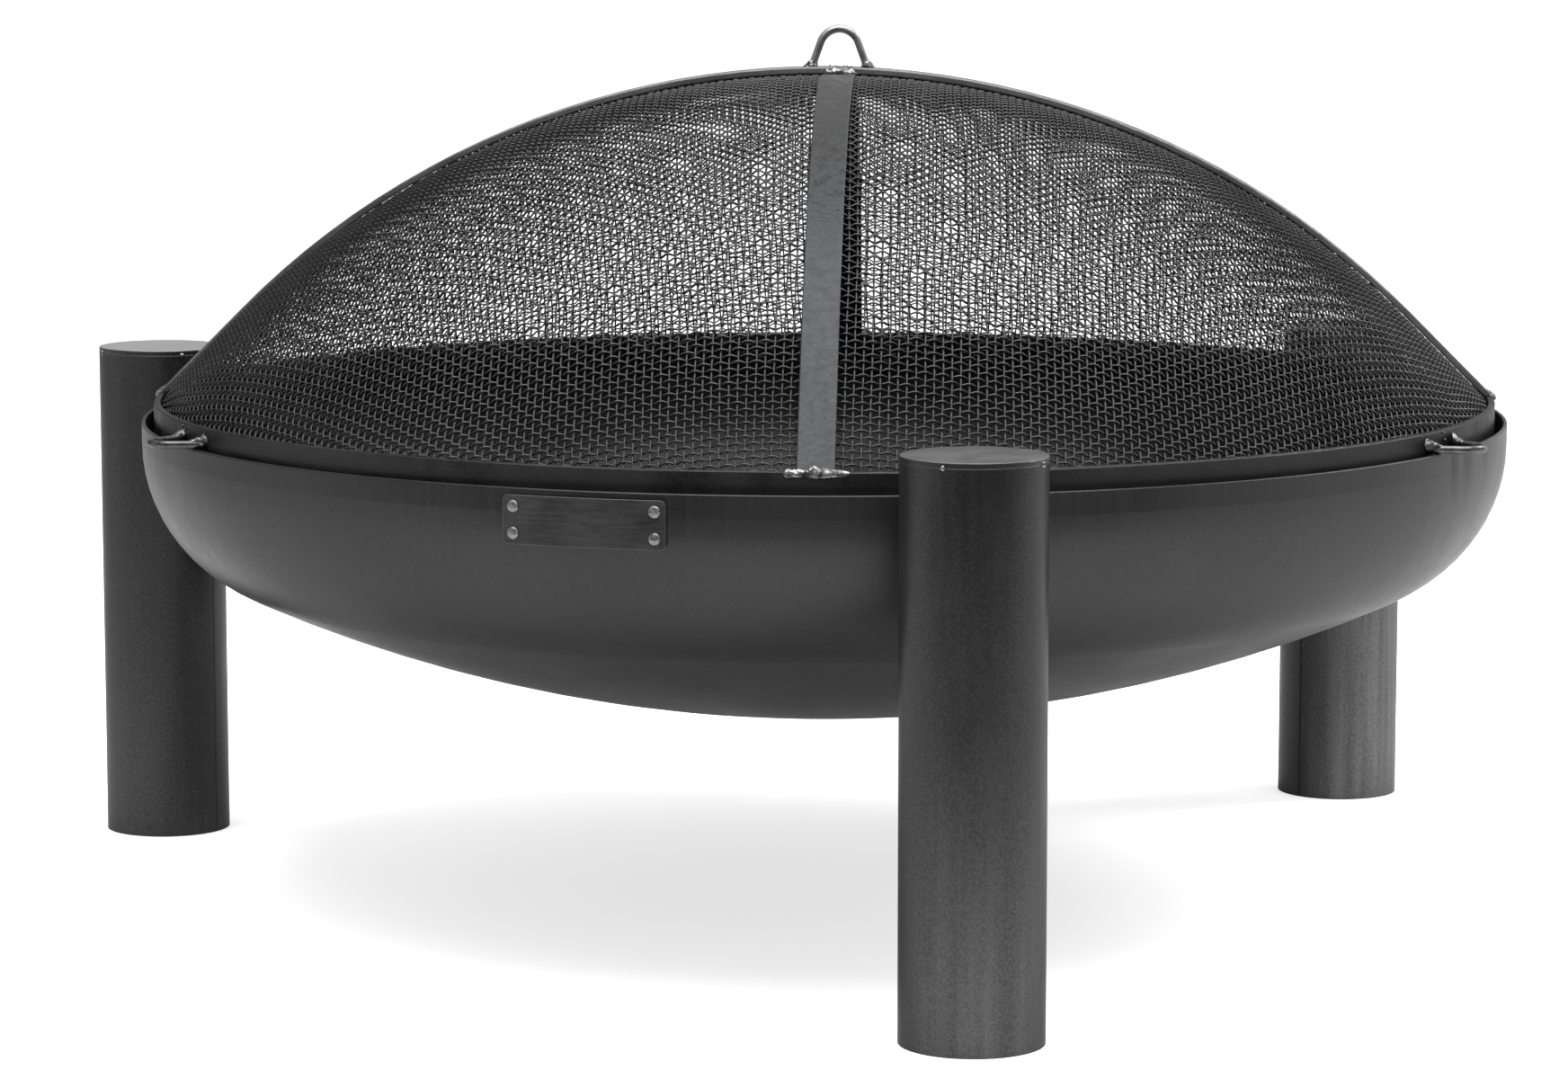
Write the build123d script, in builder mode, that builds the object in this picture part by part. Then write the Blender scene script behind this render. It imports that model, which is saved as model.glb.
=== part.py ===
from build123d import *
from math import asin, atan2, cos, degrees, radians, sin, sqrt, tan
import os

# Fire bowl on three tube legs, with a lift-off spark screen of woven wire.
# Millimetres. The origin is on the floor under the middle of the bowl, +Z is up, the front
# faces -Y and the screen's cross arch lies along X. Screen and bowl share the Z axis.

os.makedirs("parts", exist_ok=True)

# ---- Bowl: a torispherical dish with a short straight flange ----
bowl_radius = 400.0
bowl_wall = 2.5
rim_z = 278.0
flange_height = 12.5
knuckle_radius = 91.0
crown_radius = 818.0
rim_rounding = 0.8

# ---- Legs: standard 76.1 mm tube, closed at the top with a disc ----
leg_names = ("front", "right", "left")
leg_radius = 38.05
leg_wall = 2.9
leg_length = 300.0
leg_turn = 11.2
cap_thickness = 3.0
tack_radius = 1.9
first_tack_angle = {"front": -115.0, "right": -62.0, "left": -62.0}
tacks_per_cap = 4
seam_radius = 4.5
seam_offset = 12.0
seam_length = 42.0
seam_drop = 1.8

# ---- Badge plate and its rivets ----
badge_turn = -16.9
badge_width = 90.0
badge_height = 26.0
badge_thickness = 1.2
badge_drop = 3.5
badge_corner = 3.0
rivet_spread = 78.0
rivet_rise = 14.0
rivet_shank = 2.0
rivet_head = 3.3
rivet_head_height = 1.4
rivet_taper = 28

# ---- Spark screen: ring, arch and strips of flat bar ----
ring_radius = 392.8
ring_bottom_z = 262.0
ring_top_z = 289.5
ring_joint_turn = 168.0
ring_joint_width = 5.0
ring_joint_height = 0.9
ring_joint_taper = 30
bar_thickness = 4.0
bar_width = 20.0
bar_rounding = 0.8
arch_top_z = 481.5
arch_radius = 485.7
arch_half_angle = 45.0
crossing_x = 9.0
strip_foot_x = {"front": 4.0, "back": 7.5}
strip_facing = {"front": -1, "back": 1}
strip_lap_rounding = 250.0

# ---- Weld beads of the bars ----
bead_radius = 3.0
bead_sink = 1.5
foot_bead_drop = 1.0
arch_bead_length = 23.0
strip_bead_length = 28.0
crossing_bead_radius = 3.8
crossing_bead_length = 12.0

# ---- Hoops of bent rod: the lifting eye, and three rest lugs that hang the screen on the rim ----
rod_radius = 2.25
hoop_bend_radius = 11.6
hoop_lean = 20.0
hoop_sink = 2.0
eye_height = 24.2
eye_weld_radius = 4.8
eye_weld_height = 5.5
lug_angles = {"left": -61.8, "right": 61.1, "back": 180.0}
lug_reach = 27.0
lug_clearance = 0.3
lug_weld_radius = 4.0
lug_weld_sink = 1.0
lug_weld_length = 4.5
lug_weld_taper = 18

# ---- Woven wire mesh, as a coarse lattice of steel that weighs the same, and its tack welds ----
mesh_gap = 0.7
mesh_thickness = 0.9
mesh_skirt_z = 268.0
mesh_holes_across = 12
mesh_hole_pitch = 64.0
mesh_hole = 50.0
mesh_ring_border = 12.0
mesh_arch_border = 12.0
mesh_tack_radius = 1.2
mesh_tack_offset = 7.0
arch_tack_angles = [angle for angle in range(-42, 43, 3) if angle]
ring_tack_turns = range(0, 360, 12)

# ---- Worked out from the above ----
knuckle_centre = (bowl_radius - knuckle_radius, rim_z - flange_height)
crown_angle = degrees(asin(knuckle_centre[0] / (crown_radius - knuckle_radius)))
crown_centre_z = knuckle_centre[1] + sqrt((crown_radius - knuckle_radius) ** 2 - knuckle_centre[0] ** 2)
leg_axis_radius = bowl_radius + leg_radius
badge_z = rim_z - badge_drop - badge_height / 2
ring_middle_z = (ring_bottom_z + ring_top_z) / 2
ring_inner_radius = ring_radius - bar_thickness
arch_centre_z = arch_top_z - arch_radius
lug_z = rim_z + rod_radius + lug_clearance


def floor_point(turn, radius, across=0.0):
    """The floor point at a turn from the front and a radius, moved sideways by across."""
    angle = radians(turn)
    return (
        radius * sin(angle) + across * cos(angle),
        -radius * cos(angle) + across * sin(angle),
    )


def outward_plane(turn, radius, z):
    """A plane facing away from the Z axis; turn 0 faces the front and grows towards +X."""
    origin = (*floor_point(turn, radius), z)
    return Plane(origin=origin, x_dir=(*floor_point(turn, 0, 1), 0), z_dir=(*floor_point(turn, 1), 0))


def leg_feet():
    """Each leg's name, its turn and its axis on the floor."""
    for number, name in enumerate(leg_names):
        turn = leg_turn + 360 / len(leg_names) * number
        yield name, turn, floor_point(turn, leg_axis_radius)


# ================= Bowl =================
def dish_half(inset):
    """Half section of the dish, filled to its axis, with its wall moved inwards by the inset."""
    radius = bowl_radius - inset
    with BuildSketch() as half:
        with BuildLine():
            top = Line((0, rim_z), (radius, rim_z))
            Line(top @ 1, (radius, knuckle_centre[1]))
            CenterArc(knuckle_centre, knuckle_radius - inset, 0, crown_angle - 90)
            crown = CenterArc((0, crown_centre_z), crown_radius - inset, crown_angle - 90, -crown_angle)
            Line(crown @ 1, top @ 0)
        make_face()
    return half.sketch


dish_outside = dish_half(0)
rivet_turn = degrees(rivet_spread / 2 / bowl_radius)
rivet_planes = [
    outward_plane(badge_turn + side * rivet_turn, bowl_radius, badge_z + level * rivet_rise / 2)
    for side in (-1, 1)
    for level in (-1, 1)
]

with BuildPart() as bowl:
    with BuildSketch(Plane.XZ):
        add(dish_outside)
        add(dish_half(bowl_wall), mode=Mode.SUBTRACT)
    revolve(axis=Axis.Z)
    rim_edges = bowl.edges().filter_by(GeomType.CIRCLE).group_by(Axis.Z)[-1]
    fillet(rim_edges, rim_rounding)
    with BuildSketch(*rivet_planes):
        Circle(rivet_shank)
    extrude(amount=2 * bowl_wall, both=True, mode=Mode.SUBTRACT)
bowl.part.label = "bowl"
export_step(bowl.part, "parts/bowl.step")


# ================= Legs =================
for name, turn, foot in leg_feet():
    with BuildPart() as leg_tube:
        with BuildSketch(Plane.XY):
            with Locations(foot):
                Circle(leg_radius)
                Circle(leg_radius - leg_wall, mode=Mode.SUBTRACT)
        extrude(amount=leg_length)
    leg_tube.part.label = f"leg_tube_{name}"
    export_step(leg_tube.part, f"parts/leg_tube_{name}.step")

    with BuildPart() as leg_cap:
        with BuildSketch(Plane.XY.offset(leg_length)):
            with Locations(foot):
                Circle(leg_radius)
        extrude(amount=cap_thickness)
        fillet(leg_cap.edges().group_by(Axis.Z)[-1], rim_rounding)
    leg_cap.part.label = f"leg_cap_{name}"
    export_step(leg_cap.part, f"parts/leg_cap_{name}.step")

    # Two upright weld seams fill the wedges where the tube touches the bowl's flange.
    with BuildPart() as leg_seam:
        with BuildSketch(Plane.XY.offset(rim_z - seam_drop)):
            with Locations(
                floor_point(turn, bowl_radius, -seam_offset),
                floor_point(turn, bowl_radius, seam_offset),
            ):
                Circle(seam_radius)
        extrude(amount=-seam_length)
        with BuildSketch(Plane.XY):
            with Locations(foot):
                Circle(leg_radius)
        extrude(amount=leg_length, mode=Mode.SUBTRACT)
        with BuildSketch(Plane.XZ):
            add(dish_outside)
        revolve(axis=Axis.Z, mode=Mode.SUBTRACT)
    leg_seam.part.label = f"leg_seam_{name}"
    export_step(leg_seam.part, f"parts/leg_seam_{name}.step")

# Small tack beads hold each cap disc on its tube.
with BuildPart() as cap_tacks:
    for name, turn, foot in leg_feet():
        for number in range(tacks_per_cap):
            angle = first_tack_angle[name] + number * 360 / tacks_per_cap
            side = (
                foot[0] + leg_radius * cos(radians(angle)),
                foot[1] + leg_radius * sin(radians(angle)),
                leg_length,
            )
            with Locations(side):
                Sphere(tack_radius)
        with BuildSketch(Plane.XY):
            with Locations(foot):
                Circle(leg_radius)
        extrude(amount=leg_length + cap_thickness, mode=Mode.SUBTRACT)
cap_tacks.part.label = "cap_tacks"
export_step(cap_tacks.part, "parts/cap_tacks.step")


# ================= Badge plate =================
with BuildPart() as badge_plate:
    with BuildSketch(Plane.XY.offset(badge_z - badge_height / 2)):
        Circle(bowl_radius + badge_thickness)
        Circle(bowl_radius, mode=Mode.SUBTRACT)
    extrude(amount=badge_height)
    with BuildSketch(outward_plane(badge_turn, bowl_radius, badge_z)):
        RectangleRounded(badge_width, badge_height, badge_corner)
    extrude(amount=bowl_wall + badge_thickness, both=True, mode=Mode.INTERSECT)
    with BuildSketch(*rivet_planes):
        Circle(rivet_shank)
    extrude(amount=2 * badge_thickness, both=True, mode=Mode.SUBTRACT)
badge_plate.part.label = "badge_plate"
export_step(badge_plate.part, "parts/badge_plate.step")

# Each rivet has a low round head outside and one inside, joined through plate and wall.
rivet_inner = bowl_wall + rivet_head_height
with BuildPart() as badge_rivets:
    for plane in rivet_planes:
        with BuildSketch(plane.offset(-rivet_inner)):
            Circle(rivet_shank)
        extrude(amount=rivet_inner + badge_thickness)
        with BuildSketch(plane.offset(badge_thickness)):
            Circle(rivet_head)
        extrude(amount=rivet_head_height, taper=rivet_taper)
        with BuildSketch(plane.offset(-bowl_wall)):
            Circle(rivet_head)
        extrude(amount=-rivet_head_height, taper=rivet_taper)
    add(bowl.part, mode=Mode.SUBTRACT)
badge_rivets.part.label = "badge_rivets"
export_step(badge_rivets.part, "parts/badge_rivets.step")


# ================= Spark screen: bars =================
def dome_half(inset, foot_z, skirt_radius=None):
    """Half section under the dome, its line moved inwards by the inset.

    A round crown runs into straight sides, which end at foot_z. With a skirt radius the sides
    turn straight down where they reach it.
    """
    radius = arch_radius - inset
    slope = tan(radians(arch_half_angle))
    shoulder_x = radius * sin(radians(arch_half_angle))
    shoulder_z = arch_centre_z + radius * cos(radians(arch_half_angle))
    if skirt_radius is None:
        sides = [(shoulder_x + (shoulder_z - foot_z) / slope, foot_z)]
    else:
        sides = [(skirt_radius, shoulder_z - (skirt_radius - shoulder_x) * slope), (skirt_radius, foot_z)]
    with BuildSketch() as half:
        with BuildLine():
            crown = CenterArc((0, arch_centre_z), radius, 90, -arch_half_angle)
            Polyline(crown @ 1, *sides, (0, foot_z), crown @ 0)
        make_face()
    return half.sketch


def long_edges(bar):
    """The edges that run along a bent flat bar, longer than its width."""
    return bar.edges().filter_by(lambda edge: edge.length > 1.5 * bar_width)


def strip_half(inset):
    """The dome's half section down to the ring, levelled at the top to pass under the arch."""
    level = arch_top_z - bar_thickness - inset
    with BuildSketch() as half:
        add(dome_half(inset, ring_top_z))
        with Locations((0, level)):
            Rectangle(bowl_radius, 4 * bar_thickness, align=(Align.CENTER, Align.MIN), mode=Mode.SUBTRACT)
        lap_end = half.vertices().group_by(Axis.Y)[-1].sort_by(Axis.X)[-1]
        fillet(lap_end, strip_lap_rounding - inset)
    return half.sketch



# The ring is one bar rolled edgewise into a hoop.
with BuildPart() as screen_ring:
    with BuildSketch(Plane.XY.offset(ring_bottom_z)):
        Circle(ring_radius)
        Circle(ring_inner_radius, mode=Mode.SUBTRACT)
    extrude(amount=ring_top_z - ring_bottom_z)
    fillet(screen_ring.edges().filter_by(GeomType.CIRCLE), bar_rounding)
screen_ring.part.label = "screen_ring"
export_step(screen_ring.part, "parts/screen_ring.step")

# Its butt weld stands slightly proud at the back.
with BuildPart() as ring_joint_weld:
    with BuildSketch(outward_plane(ring_joint_turn, ring_radius, ring_middle_z)):
        SlotOverall(ring_top_z - ring_bottom_z - 2 * bar_rounding, ring_joint_width, rotation=90)
    extrude(amount=ring_joint_height, taper=ring_joint_taper)
    with BuildSketch(Plane.XY):
        Circle(ring_radius)
    extrude(amount=ring_top_z, mode=Mode.SUBTRACT)
ring_joint_weld.part.label = "ring_joint_weld"
export_step(ring_joint_weld.part, "parts/ring_joint_weld.step")

# The cross arch is one bar, bent over the flat from the ring's left side to its right.
with BuildPart() as cross_arch:
    with BuildSketch(Plane.XZ):
        add(dome_half(0, ring_top_z))
        add(dome_half(bar_thickness, ring_top_z), mode=Mode.SUBTRACT)
        mirror(about=Plane.YZ)
    extrude(amount=bar_width / 2, both=True)
    fillet(long_edges(cross_arch), bar_rounding)
cross_arch.part.label = "cross_arch"
export_step(cross_arch.part, "parts/cross_arch.step")

# Two strips run from under the arch, where their ends meet, down to the ring's top.
strips = []
for name, facing in strip_facing.items():
    sideways = atan2(strip_foot_x[name] - crossing_x, ring_radius)
    run = Vector(sin(sideways), facing * cos(sideways), 0)
    crossing = Vector(crossing_x, 0, 0)
    nearest = crossing - run * crossing.dot(run)
    with BuildPart() as strip:
        with BuildSketch(Plane(origin=nearest, x_dir=run, z_dir=run.cross(Vector(0, 0, 1)))):
            add(strip_half(0))
            add(strip_half(bar_thickness), mode=Mode.SUBTRACT)
        extrude(amount=bar_width / 2, both=True)
        fillet(long_edges(strip), bar_rounding)
        split(bisect_by=Plane.XZ, keep=Keep.TOP if name == "front" else Keep.BOTTOM)
        add(cross_arch.part, mode=Mode.SUBTRACT)
    strip.part.label = f"{name}_strip"
    export_step(strip.part, f"parts/{name}_strip.step")
    strips.append(strip.part)


# ================= Spark screen: weld beads of the bars =================
def round_bead(centre, along, length, radius=bead_radius):
    """A straight weld bead with round ends, before the pieces that it joins are cut out of it."""
    start = centre - along * (length / 2)
    with BuildPart() as bead:
        with BuildSketch(Plane(origin=start, z_dir=along)):
            Circle(radius)
        extrude(amount=length)
        with Locations(start, start + along * length):
            Sphere(radius)
    return bead.part


def cut_beads(beads):
    """The beads less the ring, the arch, the strips and the space inside the dome."""
    with BuildPart() as cut:
        add(beads)
        for neighbour in (screen_ring.part, cross_arch.part, *strips):
            add(neighbour, mode=Mode.SUBTRACT)
        with BuildSketch(Plane.XZ):
            add(dome_half(bar_thickness, mesh_skirt_z))
        revolve(axis=Axis.Z, mode=Mode.SUBTRACT)
    return cut.part


foot_bead_radius = ring_radius - bead_sink
foot_bead_z = ring_top_z - foot_bead_drop
arch_beads = [
    round_bead(Vector(side * foot_bead_radius, 0, foot_bead_z), Vector(0, 1, 0), arch_bead_length)
    for side in (-1, 1)
]
with BuildPart() as arch_foot_welds:
    add(cut_beads(arch_beads))
arch_foot_welds.part.label = "arch_foot_welds"
export_step(arch_foot_welds.part, "parts/arch_foot_welds.step")

strip_beads = [
    round_bead(
        Vector(strip_foot_x[name], facing * foot_bead_radius, foot_bead_z), Vector(1, 0, 0), strip_bead_length
    )
    for name, facing in strip_facing.items()
]
with BuildPart() as strip_foot_welds:
    add(cut_beads(strip_beads))
strip_foot_welds.part.label = "strip_foot_welds"
export_step(strip_foot_welds.part, "parts/strip_foot_welds.step")

# A fillet bead lies in each corner between the arch's edge and the strip under it.
crossing_beads = [
    round_bead(
        Vector(crossing_x, facing * bar_width / 2, arch_top_z - bar_thickness),
        Vector(1, 0, 0), crossing_bead_length, crossing_bead_radius,
    )
    for facing in strip_facing.values()
]
with BuildPart() as crossing_welds:
    add(cut_beads(crossing_beads))
crossing_welds.part.label = "crossing_welds"
export_step(crossing_welds.part, "parts/crossing_welds.step")


# ================= Lifting eye and rest lugs =================
def hoop_half_width(height, level):
    """Half the distance between a hoop's leaning legs, at a level above the plane it stands on."""
    centre = height - rod_radius - hoop_bend_radius
    return hoop_bend_radius / cos(radians(hoop_lean)) + (centre - level) * tan(radians(hoop_lean))


def hoop(plane, height, anchor):
    """A rod bent to a hoop that stands on a plane, its ends sunk up to the piece that carries it."""
    centre = height - rod_radius - hoop_bend_radius
    shoulder_x = hoop_bend_radius * cos(radians(hoop_lean))
    shoulder = centre + hoop_bend_radius * sin(radians(hoop_lean))
    foot_x = hoop_half_width(height, -hoop_sink)
    with BuildPart() as rod:
        with BuildLine(plane) as path:
            Line((-foot_x, -hoop_sink), (-shoulder_x, shoulder))
            CenterArc((0, centre), hoop_bend_radius, 180 - hoop_lean, 2 * hoop_lean - 180)
            Line((shoulder_x, shoulder), (foot_x, -hoop_sink))
        with BuildSketch(Plane(origin=path.line @ 0, z_dir=path.line % 0)):
            Circle(rod_radius)
        sweep(path=path.line)
        add(anchor, mode=Mode.SUBTRACT)
    return rod.part


# The eye stands over the crossing, in the plane of the arch.
eye_plane = Plane(origin=(crossing_x, 0, arch_top_z), x_dir=(1, 0, 0), z_dir=(0, -1, 0))
with BuildPart() as lifting_eye:
    add(hoop(eye_plane, eye_height, cross_arch.part))
lifting_eye.part.label = "lifting_eye"
export_step(lifting_eye.part, "parts/lifting_eye.step")

eye_foot_x = hoop_half_width(eye_height, 0)
with BuildPart() as lifting_eye_welds:
    for side in (-1, 1):
        with Locations((crossing_x + side * eye_foot_x, 0, arch_top_z - hoop_sink)):
            Cone(eye_weld_radius, rod_radius, eye_weld_height, align=(Align.CENTER, Align.CENTER, Align.MIN))
    for neighbour in (cross_arch.part, *strips, lifting_eye.part, crossing_welds.part):
        add(neighbour, mode=Mode.SUBTRACT)
lifting_eye_welds.part.label = "lifting_eye_welds"
export_step(lifting_eye_welds.part, "parts/lifting_eye_welds.step")

# The lugs lie flat, over the bowl's rim.
lugs = []
for name, turn in lug_angles.items():
    upright = outward_plane(turn, ring_radius, lug_z)
    flat_plane = Plane(origin=upright.origin, x_dir=upright.x_dir, z_dir=(0, 0, -1))
    with BuildPart() as rest_lug:
        add(hoop(flat_plane, lug_reach, screen_ring.part))
    rest_lug.part.label = f"rest_lug_{name}"
    export_step(rest_lug.part, f"parts/rest_lug_{name}.step")
    lugs.append(rest_lug.part)

# A tapered weld collar holds each end of the rod on the ring.
lug_foot_x = hoop_half_width(lug_reach, lug_weld_length / 2 - lug_weld_sink)
with BuildPart() as rest_lug_welds:
    for turn in lug_angles.values():
        with BuildSketch(outward_plane(turn, ring_radius - lug_weld_sink, lug_z)):
            with Locations((-lug_foot_x, 0), (lug_foot_x, 0)):
                Circle(lug_weld_radius)
        extrude(amount=lug_weld_length, taper=lug_weld_taper)
    with BuildSketch(Plane.XY.offset(ring_bottom_z)):
        Circle(ring_radius)
    extrude(amount=2 * bar_width, mode=Mode.SUBTRACT)
    add(lugs, mode=Mode.SUBTRACT)
rest_lug_welds.part.label = "rest_lug_welds"
export_step(rest_lug_welds.part, "parts/rest_lug_welds.step")


# ================= Woven wire mesh =================
def mesh_half(inset):
    """Half section inside the mesh, whose sides turn down into a skirt within the ring."""
    return dome_half(bar_thickness + inset, mesh_skirt_z, ring_inner_radius - inset)


# Two panels meet under the cross arch. Each has square holes, cut straight down, with solid
# borders along the ring and under the arch, and is notched where a strip dips under the arch.
hole_rows = mesh_holes_across // 2
rows_middle = mesh_arch_border + (mesh_hole + (hole_rows - 1) * mesh_hole_pitch) / 2
mesh_panels = []
for name, facing in strip_facing.items():
    with BuildPart() as mesh_panel:
        with BuildSketch(Plane.XZ):
            add(mesh_half(mesh_gap))
            add(mesh_half(mesh_gap + mesh_thickness), mode=Mode.SUBTRACT)
        revolve(axis=Axis.Z, revolution_arc=facing * 180)
        with BuildSketch(Plane.XY.offset(ring_bottom_z)):
            with Locations((0, facing * rows_middle)):
                with GridLocations(mesh_hole_pitch, mesh_hole_pitch, mesh_holes_across, hole_rows):
                    Rectangle(mesh_hole, mesh_hole)
            Circle(ring_inner_radius - mesh_ring_border, mode=Mode.INTERSECT)
        extrude(amount=arch_top_z, mode=Mode.SUBTRACT)
        add(strips, mode=Mode.SUBTRACT)
    mesh_panel.part.label = f"mesh_{name}"
    export_step(mesh_panel.part, f"parts/mesh_{name}.step")
    mesh_panels.append(mesh_panel.part)

# Small tack welds hold the panels under the arch's two edges and inside the ring.
arch_inner_radius = arch_radius - bar_thickness
tack_planes = [outward_plane(turn, ring_inner_radius, ring_middle_z) for turn in ring_tack_turns]
for angle in arch_tack_angles:
    out = (sin(radians(angle)), 0, cos(radians(angle)))
    for side in (-1, 1):
        across = side * mesh_tack_offset
        point = (arch_inner_radius * out[0], across, arch_centre_z + arch_inner_radius * out[2])
        tack_planes.append(Plane(origin=point, x_dir=(0, 1, 0), z_dir=out))

with BuildPart() as mesh_tacks:
    with BuildSketch(*tack_planes):
        Circle(mesh_tack_radius)
    extrude(amount=mesh_gap + mesh_thickness / 2, both=True)
    for neighbour in (screen_ring.part, cross_arch.part, *mesh_panels):
        add(neighbour, mode=Mode.SUBTRACT)
mesh_tacks.part.label = "mesh_tacks"
export_step(mesh_tacks.part, "parts/mesh_tacks.step")
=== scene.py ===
import logging
from dataclasses import dataclass, field
from enum import Enum
from math import cos, pi, radians, sin
from typing import Any, Iterable, Optional, Union

import bpy
import numpy as np
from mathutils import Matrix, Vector, noise


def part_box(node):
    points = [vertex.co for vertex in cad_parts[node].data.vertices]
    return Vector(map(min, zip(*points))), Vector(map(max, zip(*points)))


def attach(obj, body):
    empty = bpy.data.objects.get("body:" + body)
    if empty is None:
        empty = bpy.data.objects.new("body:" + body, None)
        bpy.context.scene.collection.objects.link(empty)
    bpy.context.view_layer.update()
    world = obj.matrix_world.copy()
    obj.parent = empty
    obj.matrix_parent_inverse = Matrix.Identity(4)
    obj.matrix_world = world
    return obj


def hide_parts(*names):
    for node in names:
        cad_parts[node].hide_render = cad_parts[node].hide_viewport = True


# Dresses a fire bowl and the domed spark screen that hangs on its rim. The solids give every
# size and place. This script adds the woven wire, the rippled weld metal, the rivet heads and
# all finishes, and stands the object in a plain studio. Metres, in the solids' own frame.

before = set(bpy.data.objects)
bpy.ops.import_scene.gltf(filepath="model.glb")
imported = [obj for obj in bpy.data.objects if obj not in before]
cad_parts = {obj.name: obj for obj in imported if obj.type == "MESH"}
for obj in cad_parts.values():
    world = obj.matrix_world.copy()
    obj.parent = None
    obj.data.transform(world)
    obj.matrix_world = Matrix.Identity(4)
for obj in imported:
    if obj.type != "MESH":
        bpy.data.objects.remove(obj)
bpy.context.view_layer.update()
log = logging.getLogger("fire_bowl")

Array = np.ndarray
Material = bpy.types.Material
Socket = bpy.types.NodeSocket
Colour = tuple[float, float, float]
Span = tuple[float, float]
Place = Union[tuple[float, float, float], Vector]
BOWL_BODY = "fire_bowl"
SCREEN_BODY = "spark_screen"
LEGS = ("front", "right", "left")
UPWARD = (0.0, 0.0, 1.0)
SPATTER_SIZES = (0.0003, 0.0007)
TINY = 1e-12
MAP_MARGIN = 1.001

# Where noise about 0.5 counts as 0 and as 1.
PATCH_RANGE = (0.32, 0.68)
MARK_RANGE = (0.3, 0.7)
SPECK_RANGE = (0.35, 0.65)
STREAK_RANGE = (0.25, 0.75)
WELD_RANGE = (0.36, 0.66)


# ---------- shader expressions
class Value:
    """A number that varies over a surface; Python's operators add Math nodes to it."""

    def __init__(self, nodes: "Nodes", socket: Socket) -> None:
        """Wraps one output socket of the node tree."""
        self.nodes = nodes
        self.socket = socket

    def _math(self, operation: str, first: "Number", second: "Number") -> "Value":
        """The result of a new Math node with two inputs."""
        node = self.nodes.add("ShaderNodeMath", {"operation": operation}, {0: first, 1: second})
        return Value(self.nodes, node.outputs[0])

    def __add__(self, other: "Number") -> "Value":
        """self + other"""
        return self._math("ADD", self, other)

    __radd__ = __add__

    def __mul__(self, other: "Number") -> "Value":
        """self * other"""
        return self._math("MULTIPLY", self, other)

    __rmul__ = __mul__

    def __sub__(self, other: "Number") -> "Value":
        """self - other"""
        return self._math("SUBTRACT", self, other)

    def __rsub__(self, other: "Number") -> "Value":
        """other - self"""
        return self._math("SUBTRACT", other, self)

    def band(self, low: float, high: float) -> "Value":
        """Runs smoothly from 0 where this value is low to 1 where it is high.

        Args:
            low: The value that becomes 0.
            high: The value that becomes 1; it may be the smaller one.

        Returns:
            The smooth step.
        """
        steps = {"Value": self, "From Min": min(low, high), "From Max": max(low, high)}
        node = self.nodes.add("ShaderNodeMapRange", {"interpolation_type": "SMOOTHSTEP"}, steps)
        rising = Value(self.nodes, node.outputs["Result"])
        return rising if low < high else 1 - rising


Number = Union[Value, float]
Paint = Union[Socket, Colour]


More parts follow.
